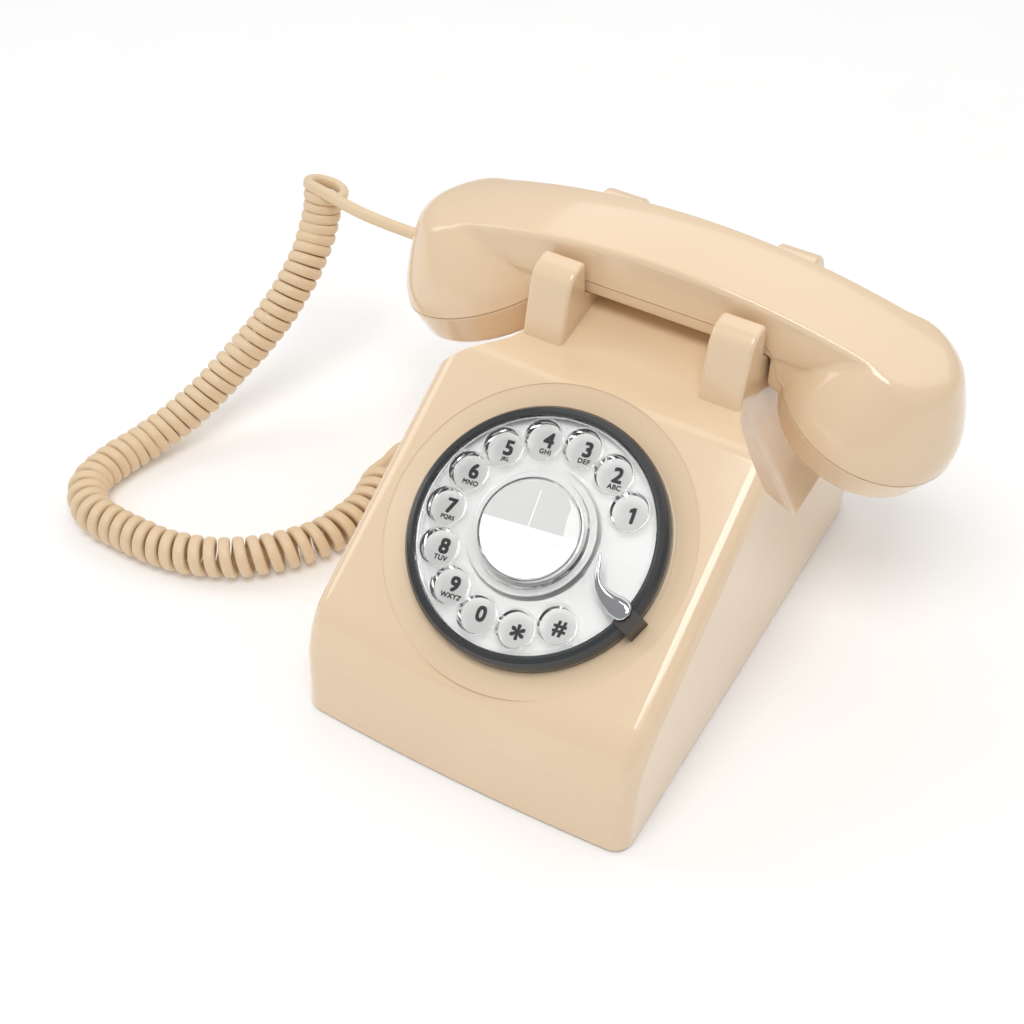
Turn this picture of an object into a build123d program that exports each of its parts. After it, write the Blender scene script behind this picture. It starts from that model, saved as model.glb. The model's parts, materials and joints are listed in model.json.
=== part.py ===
from build123d import *
import math
import os

# Desk telephone with a twelve-hole rotary dial, a lift-off handset and a curly handset cord.
# Millimetres. X runs along the handset, +Y to the back, +Z up. The origin is on the table,
# under the middle of the telephone. Each piece is written to parts/NODE.step.

# ---- driving dimensions ----
CASE_FRONT_HALF_WIDTH = 67.4    # the case narrows a little to the back
CASE_REAR_HALF_WIDTH = 64.3
CASE_REAR_Y = 104.5
CASE_CORNER_Y = -105.4          # front corners before the front face bows out
CASE_BOW_Y = -109.2             # apex of the bow, before rounding
CASE_FRONT_Y = -107.6           # front of the rim
CASE_RIM_Z = 1.5                # the feet lift the rim off the table
BOW_R = 1011.0
CREASE_Y = -105.9               # crease across the front, where the nose begins
CREASE_Z = 27.7
NOSE_Y = -101.3                 # where nose and panel would meet without rounding
NOSE_R = 28.0
CORNER_R = 7.0
WALL = 2.8
TOP_EDGE_R = 7.0

DIAL_TILT = 32.0                # the panel's slope
DIAL_CENTRE = (0.0, -50.2, 75.3)
SURROUND_R = 57.3
OPENING_R = 46.6
BEZEL_R = 47.9
BEZEL_INNER_R = 44.3
WHEEL_R = 43.1
HOLE_CIRCLE_R = 34.2
HOLE_TOP_R = 7.4
HOLE_LOW_R = 6.4
FIRST_HOLE_ANGLE = 35.1
HOLE_STEP = 25.0
HOLE_COUNT = 12
WHEEL_LOW_H = 3.0
WHEEL_TOP_H = 5.5
RUNNING_GAP = 0.05

CRADLE_Y = 51.7                 # centre line of handset and cradle
PRONG_INNER_X = 27.4
PRONG_OUTER_X = 44.1
PARTING_Z = 121.0
PARTING_GAP = 0.25
SHELL = 2.4

CUP_X = 79.6
CUP_Z = 93.8
CUP_TILT = 20.0
CUP_R = 34.8
CAP_DEPTH = 13.5
ARCH_R = 312.0
ARCH_TOP_Z = 139.6
CROWN_R = 95.0

MAIN_TEETH = 48
PINION_TEETH = 12
GEAR_MODULE = 1.0
PINION_ANGLE = 150.0

CORD_DIA = 4.6
COIL_DIA = 17.0

DIAL = Plane(
    origin=DIAL_CENTRE,
    x_dir=(1, 0, 0),
    z_dir=(0, -math.sin(math.radians(DIAL_TILT)), math.cos(math.radians(DIAL_TILT))),
)
SIDE_VIEW = Plane(origin=(0, 0, 0), x_dir=(0, 1, 0), z_dir=(1, 0, 0))     # local (y, z)
FRONT_VIEW = Plane(origin=(0, 0, 0), x_dir=(1, 0, 0), z_dir=(0, -1, 0))   # local (x, z)


# ---- helpers ----
def outline(corners):
    """Closed face from (a, b, radius) corners, each rounded by a tangent arc."""
    starts = []
    ends = []
    arcs = []
    count = len(corners)
    for i, (a, b, radius) in enumerate(corners):
        here = Vector(a, b)
        to_last = (Vector(*corners[i - 1][:2]) - here).normalized()
        to_next = (Vector(*corners[(i + 1) % count][:2]) - here).normalized()
        if radius == 0:
            starts.append(here)
            ends.append(here)
            arcs.append(None)
            continue
        half = math.acos(max(-1.0, min(1.0, to_last.dot(to_next)))) / 2
        reach = radius / math.tan(half)
        inward = (to_last + to_next).normalized()
        middle = here + inward * (radius / math.sin(half) - radius)
        starts.append(here + to_last * reach)
        ends.append(here + to_next * reach)
        arcs.append(middle)
    edges = []
    for i in range(count):
        if arcs[i] is not None:
            edges.append(ThreePointArc(starts[i], arcs[i], ends[i]))
        following = starts[(i + 1) % count]
        if (following - ends[i]).length > 1e-6:
            edges.append(Line(ends[i], following))
    return make_face(edges)


def prism(face, view, low, high):
    """The face drawn in a view plane, extruded between two distances along the view's normal."""
    return extrude(view.location * face, amount=high - low, dir=view.z_dir).moved(
        Location(view.z_dir * low)
    )


def turned(points):
    """Solid of revolution about Z from (radius, height) points."""
    face = make_face(Polyline(*[(r, 0, h) for r, h in points], close=True))
    return revolve(face, Axis.Z)


def disc(radius, low, high, at=(0.0, 0.0)):
    """Upright cylinder between two heights."""
    cylinder = Cylinder(radius, high - low, align=(Align.CENTER, Align.CENTER, Align.MIN))
    return cylinder.moved(Location((at[0], at[1], low)))


def block(x, y, z):
    """Box from (low, high) pairs."""
    size = (x[1] - x[0], y[1] - y[0], z[1] - z[0])
    return Box(*size, align=(Align.MIN, Align.MIN, Align.MIN)).moved(Location((x[0], y[0], z[0])))


def polar(radius, angle):
    """Point at a radius and an angle in degrees."""
    return radius * math.cos(math.radians(angle)), radius * math.sin(math.radians(angle))


def both_sides(shape):
    """The shape and its mirror image in the telephone's middle plane."""
    return shape + mirror(shape, about=Plane.YZ)


def save(name, shape):
    """Write one node."""
    export_step(shape, f"parts/{name}.step")


# ---- case ----
def half_width(y):
    """Half the width of the case at a place along its length."""
    share = (y - CASE_CORNER_Y) / (CASE_REAR_Y - CASE_CORNER_Y)
    return CASE_FRONT_HALF_WIDTH + share * (CASE_REAR_HALF_WIDTH - CASE_FRONT_HALF_WIDTH)


def plan(inset):
    """Outline of the case's rim seen from above."""
    front = half_width(CASE_CORNER_Y) - inset
    rear = half_width(CASE_REAR_Y) - inset
    return outline([
        (-front, CASE_CORNER_Y + inset, CORNER_R - inset),
        (0, CASE_BOW_Y + inset, BOW_R),
        (front, CASE_CORNER_Y + inset, CORNER_R - inset),
        (rear, CASE_REAR_Y - inset, 14 - inset),
        (-rear, CASE_REAR_Y - inset, 14 - inset),
    ])


def open_plan(inset):
    """Outline of the case's walls, running on past the front."""
    beyond = -130.0
    front = half_width(beyond) - inset
    rear = half_width(CASE_REAR_Y) - inset
    return outline([
        (-front, beyond, 0),
        (front, beyond, 0),
        (rear, CASE_REAR_Y - inset, 14 - inset),
        (-rear, CASE_REAR_Y - inset, 14 - inset),
    ])


def leaning_drum(y, z, lean):
    """Large upright drum whose front line passes through (y, z) and leans back by an angle."""
    turn = math.radians(lean)
    line = Plane(origin=(0, y, z), x_dir=(1, 0, 0), z_dir=(0, math.sin(turn), math.cos(turn)))
    return line.location * Location((0, BOW_R, 0)) * Cylinder(BOW_R, 600)


def side_profile(drop):
    """Outline of the case seen from the side: dial panel, deck and back slope."""
    slope = math.tan(math.radians(DIAL_TILT))
    fall = drop / math.cos(math.radians(DIAL_TILT))
    crease_y = -3.5 + drop * 0.3
    beyond = -125.0

    def panel(y):
        return DIAL_CENTRE[2] + (y - DIAL_CENTRE[1]) * slope - fall

    return outline([
        (beyond, CASE_RIM_Z - 20, 0),
        (beyond, panel(beyond), 0),
        (crease_y, panel(crease_y), 9 - drop),
        (13, 103.6 - drop, 40),
        (CRADLE_Y, 110.5 - drop, 60),
        (91 - drop, 103.4 - drop, 12 - drop),
        (107 - drop, 60, 0),
        (107 - drop, CASE_RIM_Z - 20, 0),
    ])


def scoop(grow):
    """The hollow under one ear cup, as the solid that is cut away on the right."""
    neck = PRONG_OUTER_X - grow
    foot = 72.9 - grow * 1.4
    profile = outline([
        (neck, 170, 0),
        (neck, foot, 72),
        (neck + 29, foot - 29, 0),
        (150, foot - 29, 0),
        (150, 170, 0),
    ])
    valley = prism(profile, FRONT_VIEW, -130, 70)
    facing = Vector(0.717, 0.535, 0.447)
    front = Plane(origin=Vector(44.5, 14.1, 102.1) - facing * grow, z_dir=facing)
    ahead = front.location * Box(500, 500, 500, align=(Align.CENTER, Align.CENTER, Align.MIN))
    cut = valley & ahead
    crease = [
        e for e in cut.edges()
        if abs((e.center() - front.origin).dot(front.z_dir)) < 0.5 and e.center().X < 71
        and 40 < e.center().Z < 140
    ]
    return fillet(crease, 14)


def case_block(inset):
    """The case as a solid: walls, leaning front, nose and panel, with the nose rounded."""
    wall = extrude(open_plan(inset).moved(Location((0, 0, CASE_RIM_Z - inset * 2))), 150)
    front_lean = math.degrees(math.atan2(CREASE_Y - CASE_FRONT_Y, CREASE_Z - CASE_RIM_Z))
    nose_z = DIAL_CENTRE[2] + (NOSE_Y - DIAL_CENTRE[1]) * math.tan(math.radians(DIAL_TILT))
    nose_lean = math.degrees(math.atan2(NOSE_Y - CREASE_Y, nose_z - CREASE_Z))
    solid = prism(side_profile(inset), SIDE_VIEW, -90, 90) & wall
    solid = solid & leaning_drum(CASE_FRONT_Y + inset, CASE_RIM_Z, front_lean)
    solid = solid & leaning_drum(CREASE_Y + inset, CREASE_Z, nose_lean)
    nose = [
        e for e in solid.edges()
        if abs(e.tangent_at(0.5).X) > 0.9 and 30 < (e @ 0.5).Z < 52 and (e @ 0.5).Y < -80
        and e.length > 90
    ]
    return fillet(nose, NOSE_R - inset)


def rim_edges(solid, outline_face):
    """Edges where the upright walls meet the front, nose, panel, deck and back slope."""
    wire = outline_face.face().outer_wire()
    return [
        e for e in solid.edges()
        if (e @ 0.5).Z > CASE_RIM_Z + 3
        and wire.distance_to(Vertex((e @ 0.5).X, (e @ 0.5).Y, 0)) < 0.02
        and abs(e.tangent_at(0.5).Z) < 0.999
    ]


def prongs():
    """Cradle horns, front and back, with the vee that the handle lies in, on the right.

    The notch underneath lets the hook bar rise.
    """
    rear = 2 * CRADLE_Y
    profile = outline([
        (13.9, 98, 0),
        (14.2, 104, 0),
        (20.8, 131.0, 9),
        (31.4, 131.4, 1.6),
        (32.4, 116.2, 0.8),
        (CRADLE_Y, 109.9, 9),
        (rear - 32.4, 116.2, 0.8),
        (rear - 31.4, 131.4, 1.6),
        (rear - 20.8, 131.0, 9),
        (rear - 14.2, 104, 0),
        (rear - 13.9, 98, 0),
        (CRADLE_Y + 8, 98, 0),
        (CRADLE_Y + 8, 104, 0),
        (CRADLE_Y - 8, 104, 0),
        (CRADLE_Y - 8, 98, 0),
    ])
    horn = prism(profile, SIDE_VIEW, PRONG_INNER_X, PRONG_OUTER_X)
    upper = [e for e in horn.edges() if e.center().Z > 104.5 and abs(e.tangent_at(0.5).X) < 0.5]
    return fillet(upper, 1.5)


def plunger_slot(gap):
    """Upright slot in the cradle for a hook plunger."""
    return block((33.5 - gap, 39.5 + gap), (CRADLE_Y - 4 - gap, CRADLE_Y + 4 + gap), (96, 118))


SCREW_SPOTS = [(x, y) for x in (-57.0, 57.0) for y in (-82.0, 86.0)]
FOOT_SPOTS = [(x, y) for x in (-43.0, 43.0) for y in (-80.0, 82.0)]
FRAME_SCREW_ANGLES = (90.0, 210.0, 330.0)
FRAME_SCREW_R = 50.8
SOCKET_Y = 41.0                 # handset socket in the left wall
SOCKET_Z = 12.5
LINE_X = 28.0                   # line socket in the back wall
LINE_Z = 13.0
PLATE_TOP_Z = 4.4


def in_dial(shape):
    """Place a shape drawn about the dial axis."""
    return shape.moved(DIAL.location)


def finger_block_shape(gap):
    """Foot of the finger stop: a block on the rim of the bezel and down its outside."""
    over = block((43.35 - gap, 48.4), (-4 - gap, 4 + gap), (3.6 - gap, 7.0))
    outside = block((48.2, 50.6 + gap), (-4 - gap, 4 + gap), (-1.4 - gap, 7.0))
    return (over + outside).rotate(Axis.Z, -19.0)


def case_shell():
    """Moulded case: one hollow shell with the dial opening, the scoops and the cradle."""
    outer = case_block(0)
    outer = fillet(rim_edges(outer, open_plan(0)), TOP_EDGE_R)
    outer = outer + in_dial(disc(SURROUND_R + 0.5, -6, 0)) - both_sides(scoop(0))
    inner = case_block(WALL) - both_sides(scoop(WALL))
    shell = outer - inner
    shell = shell + both_sides(prongs())
    for x, y in SCREW_SPOTS:
        boss = disc(4.2, PLATE_TOP_Z + 0.2, 26, (x, y)) - disc(1.6, 0, 20, (x, y))
        rib_x = sorted((x, math.copysign(half_width(y) - 1.5, x)))
        rib = block(rib_x, (y - 1, y + 1), (PLATE_TOP_Z + 0.2, 26))
        shell = shell + boss + (rib - disc(4, 0, 30, (x, y)))
    dish = turned([(0, 0.5), (SURROUND_R, 0.5), (SURROUND_R, -0.25), (48.6, -1.5), (0, -1.5)])
    shell = shell - in_dial(dish + disc(OPENING_R, -12, 2))
    shell = shell - in_dial(finger_block_shape(0.15))
    for angle in FRAME_SCREW_ANGLES:
        spot = polar(FRAME_SCREW_R, angle)
        shell = shell + in_dial(disc(3.4, -8.9, -2.2, spot) - disc(1.3, -9, -3.6, spot))
    slot = plunger_slot(0.3)
    shell = shell - both_sides(slot)
    socket = block((-70, -60), (SOCKET_Y - 5.4, SOCKET_Y + 5.4), (SOCKET_Z - 4.9, SOCKET_Z + 4.9))
    line = block((LINE_X - 6.6, LINE_X + 6.6), (98, 110), (LINE_Z - 5.6, LINE_Z + 5.6))
    return shell - socket - line


def base_plate():
    """Floor of the case, with screw holes, foot recesses and speaker slots."""
    plate = extrude(plan(WALL + 0.3).moved(Location((0, 0, 1.9))), PLATE_TOP_Z - 1.9)
    for spot in SCREW_SPOTS:
        plate = plate - disc(1.8, 0, 6, spot) - disc(3.2, 0, 2.7, spot)
    for spot in FOOT_SPOTS:
        plate = plate - disc(7.1, 0, 3.0, spot)
    for row in range(-3, 4):
        plate = plate - block((-14, 14), (35 + row * 5 - 1, 35 + row * 5 + 1), (0, 6))
    return plate


def rubber_feet():
    """Four round feet."""
    feet = [disc(7.0, 0.0, 3.0, spot) for spot in FOOT_SPOTS]
    return Compound(children=[chamfer(f.edges().group_by(Axis.Z)[0], 0.6) for f in feet])


def screw(spot, low, head_r, head_h, shank_r, length):
    """Pan-head screw pointing up."""
    return disc(head_r, low, low + head_h, spot) + disc(shank_r, low + head_h, low + length, spot)


def base_screws():
    """Four screws that hold the base plate."""
    return Compound(children=[screw(spot, 2.0, 2.9, 0.7, 1.5, 15) for spot in SCREW_SPOTS])


# ---- dial ----
def dial_bezel():
    """Dark ring round the finger wheel, with a skirt that drops into the case."""
    ring = turned([
        (BEZEL_INNER_R, -9.0), (46.2, -9.0), (46.2, -1.4), (BEZEL_R, -1.4), (BEZEL_R, 1.6),
        (47.4, 3.6), (46.2, 5.4), (44.6, 6.1), (43.9, 6.1), (43.4, 5.6), (43.4, 2.8),
        (BEZEL_INNER_R, 2.2),
    ])
    return in_dial(ring - finger_block_shape(0.05))


def frame_disc():
    """Round plate under the case opening that carries the dial movement."""
    plate = disc(55, -10.6, -9.05)
    spots = [polar(FRAME_SCREW_R, angle) for angle in FRAME_SCREW_ANGLES]
    for spot in spots:
        plate = plate - disc(1.5, -12, -8, spot)
    pinion = polar(pinion_distance(), PINION_ANGLE)
    return plate - disc(5.0, -12, -8) - disc(1.0 + RUNNING_GAP, -12, -8, pinion)


def frame_trimmed():
    """The frame with flats where the case is narrow."""
    return in_dial(frame_disc() & Box(110, 106, 60))


def dial_screws():
    """Three screws from the frame up into the case."""
    spots = [polar(FRAME_SCREW_R, angle) for angle in FRAME_SCREW_ANGLES]
    return Compound(children=[in_dial(screw(spot, -12.1, 2.6, 1.4, 1.2, 7)) for spot in spots])


def number_carrier():
    """Disc on three posts that holds the number plate over the movement."""
    carrier = disc(44.1, -2.0, -0.6) - disc(6, -3, 1)
    for angle in (30.0, 150.0 + 35, 270.0):
        carrier = carrier + disc(2.5, -9.0, -1.5, polar(40, angle))
    pinion = polar(pinion_distance(), PINION_ANGLE)
    return in_dial(carrier - disc(1.0 + RUNNING_GAP, -3, 1, pinion))


def number_plate():
    """Thin printed plate with the figures."""
    return in_dial(disc(44.0, -0.55, 0.2) - disc(6, -3, 1))


def finger_wheel():
    """Clear wheel with twelve tapered finger holes and a raised collar round the centre."""
    wheel = turned([
        (0, WHEEL_LOW_H), (WHEEL_R - 0.5, WHEEL_LOW_H), (WHEEL_R, WHEEL_LOW_H + 0.5),
        (WHEEL_R, WHEEL_TOP_H - 0.9), (WHEEL_R - 0.9, WHEEL_TOP_H), (24.4, WHEEL_TOP_H),
        (23.4, 8.5), (21.0, 8.5), (20.6, 10.8), (18.7, 10.8), (18.7, 6.8), (0, 6.8),
    ])
    lip = turned([
        (6, WHEEL_TOP_H - 0.5), (HOLE_TOP_R + 0.5, WHEEL_TOP_H - 0.5),
        (HOLE_TOP_R + 0.4, WHEEL_TOP_H + 0.2), (HOLE_TOP_R, WHEEL_TOP_H + 0.6),
        (6, WHEEL_TOP_H + 0.6),
    ])
    cone = turned([
        (0, 2), (HOLE_LOW_R, 2), (HOLE_LOW_R, WHEEL_LOW_H), (HOLE_LOW_R + 0.3, WHEEL_TOP_H - 0.3),
        (HOLE_TOP_R - 0.3, WHEEL_TOP_H + 0.6), (HOLE_TOP_R, WHEEL_TOP_H + 1.5),
        (0, WHEEL_TOP_H + 1.5),
    ])
    spots = [polar(HOLE_CIRCLE_R, FIRST_HOLE_ANGLE + i * HOLE_STEP) for i in range(HOLE_COUNT)]
    for spot in spots:
        wheel = wheel + lip.moved(Location((*spot, 0)))
    for spot in spots:
        wheel = wheel - cone.moved(Location((*spot, 0)))
    return in_dial(wheel)


def centre_plunger():
    """Push button in the middle of the wheel."""
    return in_dial(turned([(0, 8.2), (18.0, 8.2), (18.4, 8.6), (18.4, 10.2), (0, 10.2)]))


def centre_label():
    """Plain two-tone card under the window."""
    return in_dial(disc(17.7, 10.2, 10.6))


def centre_window():
    """Clear window over the card, gently domed."""
    dome = Sphere(170).moved(Location((0, 0, 12.6 - 170)))
    return in_dial(disc(18.4, 10.6, 14) & dome)


def finger_stop():
    """Plated hook that reaches in over the holes."""
    hook = make_face(Spline(
        (26.3, 1.9), (27.6, 0.4), (29.2, -2.6), (31.2, -6.2), (35.5, -8.4), (40.5, -8.9),
        (45.0, -11.0), (45.6, -15.0), (42.6, -17.4), (38.0, -16.3), (33.2, -13.4),
        (29.7, -9.4), (28.0, -4.4), (26.9, -0.6),
        periodic=True,
    ))
    body = extrude(hook.moved(Location((0, 0, 7.1))), 2.2)
    return in_dial(body)


def finger_stop_block():
    """Dark foot that carries the finger stop."""
    return in_dial(finger_block_shape(0))


def pinion_distance():
    """Centre distance of the dial gear and the governor pinion."""
    return GEAR_MODULE * (MAIN_TEETH + PINION_TEETH) / 2


def gear(teeth, first_angle, low, high, bore):
    """Spur gear with straight-flanked teeth and generous backlash."""
    pitch_r = GEAR_MODULE * teeth / 2
    step = 360 / teeth
    points = []
    for i in range(teeth):
        middle = first_angle + i * step
        for radius, share in (
            (pitch_r - 1.15, -0.27), (pitch_r + 0.75, -0.11),
            (pitch_r + 0.75, 0.11), (pitch_r - 1.15, 0.27),
        ):
            points.append(polar(radius, middle + share * step))
    blank = extrude(make_face(Polyline(*points, close=True)), high - low)
    return blank.moved(Location((0, 0, low))) - disc(bore, low - 1, high + 1)


def main_gear():
    """Gear on the dial shaft."""
    return in_dial(gear(MAIN_TEETH, PINION_ANGLE, -6.6, -4.4, 3.0))


def dial_shaft():
    """Shaft from the finger wheel down through the movement."""
    return in_dial(disc(3.0, -19.0, WHEEL_LOW_H))


def dial_bush():
    """Bearing sleeve pressed into the frame."""
    sleeve = disc(5.0, -10.6, -9.05) + disc(7.0, -12.6, -10.6)
    return in_dial(sleeve - disc(3.0 + RUNNING_GAP, -14, -8))


def pulse_cam():
    """Toothed cam that works the pulse contact."""
    cam = disc(9.0, -17.2, -15.2) - disc(3.0, -18, -14)
    for i in range(12):
        cam = cam - disc(1.1, -18, -14, polar(9.4, 15 + i * 20))
    return in_dial(cam)


def pulse_contact():
    """Contact block hung from the frame beside the cam."""
    return in_dial(block((11.5, 17.5), (-5, 5), (-18.5, -10.6)))


def return_spring():
    """Clock spring between the frame and the gear, wound pack."""
    return in_dial(disc(15, -8.9, -7.0) - disc(3.6, -10, -6))


def governor_pinion():
    """Pinion on the governor's spindle."""
    first = PINION_ANGLE + 180 + 180 / PINION_TEETH
    pinion = gear(PINION_TEETH, first, -6.6, -4.4, 1.0)
    return in_dial(pinion.moved(Location((*polar(pinion_distance(), PINION_ANGLE), 0))))


def governor_spindle():
    """Spindle of the governor."""
    return in_dial(disc(1.0, -24.0, -0.9, polar(pinion_distance(), PINION_ANGLE)))


def governor_drum():
    """Brake drum that evens out the dial's return."""
    spot = polar(pinion_distance(), PINION_ANGLE)
    return in_dial(disc(8.0, -20.0, -12.0, spot) - disc(1.0, -26, -8, spot))


# ---- cradle switch and electrics ----
def hook_plungers():
    """Two sprung plungers in the cradle's vees, joined by a bar inside the case."""
    plunger = block((33.5, 39.5), (CRADLE_Y - 4, CRADLE_Y + 4), (98, 110.4))
    return both_sides(plunger)


def hook_bar():
    """Bar under the plungers."""
    return block((-39.5, 39.5), (CRADLE_Y - 4, CRADLE_Y + 4), (95, 98))


def hook_bracket():
    """Sheet-metal stand for the cradle switch."""
    upright = block((-16, 16), (CRADLE_Y + 8, CRADLE_Y + 9.5), (PLATE_TOP_Z, 90))
    foot = block((-16, 16), (CRADLE_Y + 9.5, CRADLE_Y + 24), (PLATE_TOP_Z, PLATE_TOP_Z + 1.5))
    return upright + foot


def hook_switch():
    """Microswitch under the bar."""
    body = block((-10, 10), (CRADLE_Y - 4, CRADLE_Y + 8), (78, 90))
    return body + block((-3, 3), (CRADLE_Y - 2, CRADLE_Y + 2), (90, 91.5))


def main_board():
    """Circuit board on the base plate."""
    board = block((-40, 40), (-60, 8), (10, 11.6))
    return board + Compound(children=[
        block((-30, -14), (-50, -34), (11.6, 15)),
        block((4, 24), (-50, -30), (11.6, 17)),
        disc(4.5, 11.6, 24, (-20, -10)),
        disc(4.5, 11.6, 24, (-6, -10)),
    ])


def board_posts():
    """Spacers under the circuit board."""
    return Compound(children=[
        disc(3, PLATE_TOP_Z, 10, (x, y)) for x in (-34, 34) for y in (-54, 2)
    ])


def loudspeaker():
    """Round loudspeaker over the slots in the base plate."""
    return turned([(0, 17), (13, 17), (13, 13), (19, 11), (24, 6.5), (24, 4.4), (0, 4.4)]).moved(
        Location((0, 35, 0))
    )


def ballast_weight():
    """Steel slab that keeps the telephone from sliding."""
    return block((-36, 36), (-93, -72), (PLATE_TOP_Z, 12))


def line_socket():
    """Socket for the line cord in the back wall."""
    body = block((LINE_X - 6.4, LINE_X + 6.4), (90, 104.0), (LINE_Z - 5.4, LINE_Z + 5.4))
    mouth = block((LINE_X - 4.9, LINE_X + 4.9), (94, 110), (LINE_Z - 3.4, LINE_Z + 3.4))
    foot = block((LINE_X - 6.4, LINE_X + 6.4), (90, 100), (PLATE_TOP_Z, LINE_Z - 5.4))
    return body + foot - mouth


def handset_socket():
    """Socket for the curly cord in the left wall."""
    y = (SOCKET_Y - 5.2, SOCKET_Y + 5.2)
    body = block((-65.2, -50), y, (SOCKET_Z - 4.7, SOCKET_Z + 4.7))
    mouth = block((-70, -54), (SOCKET_Y - 3.9, SOCKET_Y + 3.9), (SOCKET_Z - 3.3, SOCKET_Z + 3.3))
    foot = block((-60, -50), y, (PLATE_TOP_Z, SOCKET_Z - 4.7))
    return body + foot - mouth


def base_plug():
    """Clear modular plug on the cord, pushed into the socket."""
    return block((-67.0, -54.5), (SOCKET_Y - 3.8, SOCKET_Y + 3.8), (SOCKET_Z - 3.2, SOCKET_Z + 3.2))


# ---- handset ----
CUP = Plane(
    origin=(CUP_X, CRADLE_Y, CUP_Z),
    x_dir=(math.cos(math.radians(CUP_TILT)), 0, -math.sin(math.radians(CUP_TILT))),
    z_dir=(math.sin(math.radians(CUP_TILT)), 0, math.cos(math.radians(CUP_TILT))),
)


def under_arch(drop):
    """Everything below the handset's arched and gently crowned back."""
    crest = ARCH_TOP_Z - drop
    edge = crest - 45.0 ** 2 / (2 * CROWN_R)
    face = make_face([
        Line((CRADLE_Y - 45, 40), (CRADLE_Y - 45, edge)),
        ThreePointArc((CRADLE_Y - 45, edge), (CRADLE_Y, crest), (CRADLE_Y + 45, edge)),
        Line((CRADLE_Y + 45, edge), (CRADLE_Y + 45, 40)),
        Line((CRADLE_Y + 45, 40), (CRADLE_Y - 45, 40)),
    ])
    axis = Axis((0, 0, ARCH_TOP_Z - ARCH_R), (0, 1, 0))
    half = revolve(SIDE_VIEW.location * face, axis, 40)
    other = revolve(SIDE_VIEW.location * face, axis, -40)
    return half + other


def handle(inset):
    """Straight bar between the cups."""
    y = CRADLE_Y
    half = 18.0 - inset
    section = outline([
        (y - 16.8 + inset, 150, 0),
        (y - half, PARTING_Z, 0),
        (y - half + 0.4, 115.9 + inset * 0.7, 1.5),
        (y - 3, 111.3 + inset, 6),
        (y + 3, 111.3 + inset, 6),
        (y + half - 0.4, 115.9 + inset * 0.7, 1.5),
        (y + half, PARTING_Z, 0),
        (y + 16.8 - inset, 150, 0),
    ])
    return prism(section, SIDE_VIEW, -92 + inset, 92 - inset)


def cup(inset):
    """Domed cup over one end, with its cap below, on the right."""
    rim = (CUP_R - inset - 0.2, 0)
    top = (0, 41 - inset)
    middle = (0, -CAP_DEPTH + inset)
    flat = (27.5 - inset, -CAP_DEPTH + inset)
    turn = (29.9 - inset, -CAP_DEPTH + 0.9 + inset)
    side = (31.2 - inset, -CAP_DEPTH + 3.3 + inset * 0.6)
    face = make_face([
        Spline(
            rim, (33.7 - inset, 6), (30.4 - inset, 14), (24.9 - inset, 24),
            (18.6 - inset, 33), (12 - inset, 38.6 - inset), top,
        ),
        Line(top, middle),
        Line(middle, flat),
        ThreePointArc(flat, turn, side),
        Line(side, rim),
    ])
    return revolve(Plane.XZ.location * face, Axis.Z).moved(CUP.location)


def web(inset):
    """Corner between the underside of the handle and the inner side of a cup, on the right."""
    near = 45.4 + inset
    face = outline([
        (near, 119, 0), (near, 103 + inset, 2.5), (56, 97 + inset, 0), (60, 119, 0),
    ])
    half = 17.2 - inset
    return prism(face, FRONT_VIEW, -(CRADLE_Y + half), -(CRADLE_Y - half))


def handset_body(inset):
    """The handset as one form."""
    whole = handle(inset) + both_sides(cup(inset) + web(inset))
    return whole & under_arch(inset)


def below_parting(lift):
    """Everything under the joint between the two shells."""
    run = math.tan(math.radians(CUP_TILT))
    seam_z = CUP_Z + 0.3
    far = 130
    far_z = seam_z - (far - CUP_X) * run
    shoulder = 49.6
    shoulder_z = seam_z - (shoulder - CUP_X) * run
    face = outline([
        (-far, far_z, 0), (-shoulder, shoulder_z, 3), (-45, PARTING_Z, 9),
        (45, PARTING_Z, 9), (shoulder, shoulder_z, 3), (far, far_z, 0),
        (far, 20, 0), (-far, 20, 0),
    ])
    return prism(face, FRONT_VIEW, -(CRADLE_Y + 60), -(CRADLE_Y - 60)).moved(Location((0, 0, lift)))


def handset_upper():
    """Back shell of the handset."""
    shell = handset_body(0) - handset_body(SHELL)
    shell = shell - below_parting(PARTING_GAP)
    lead = Plane(origin=(-115, CRADLE_Y, 99.5), z_dir=(1, 0, 0))
    return shell - lead.location * Cylinder(3.2, 20)


def handset_lower():
    """Front shell of the handset, with the two perforated caps."""
    shell = (handset_body(0) - handset_body(SHELL)) & below_parting(0)
    holes = disc(1.1, -16, -9)
    for count, radius in ((6, 5.5), (12, 11.0)):
        for i in range(count):
            holes = holes + disc(1.1, -16, -9, polar(radius, i * 360 / count))
    return shell - both_sides(holes.moved(CUP.location))


def capsule():
    """Round transducer seated in the right cap."""
    return turned([(0, -10.9), (21, -10.9), (21, -4), (15, -1), (0, -1)]).moved(CUP.location)


def receiver_capsule():
    """Earpiece capsule, in the right cup."""
    return capsule()


def microphone_capsule():
    """Mouthpiece capsule, in the left cup where the cord leaves."""
    return mirror(capsule(), about=Plane.YZ)


def handset_weight():
    """Steel bar that gives the handset its heft."""
    return block((-30, 30), (CRADLE_Y - 8, CRADLE_Y + 8), (117.0, 123.0))


def handset_gland():
    """Bush where the cord enters the end of the handset."""
    bush = Cylinder(3.1, 8) - Cylinder(CORD_DIA / 2 + RUNNING_GAP, 20)
    return Plane(origin=(-108.5, CRADLE_Y, 99.5), z_dir=(1, 0, 0)).location * bush


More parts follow.
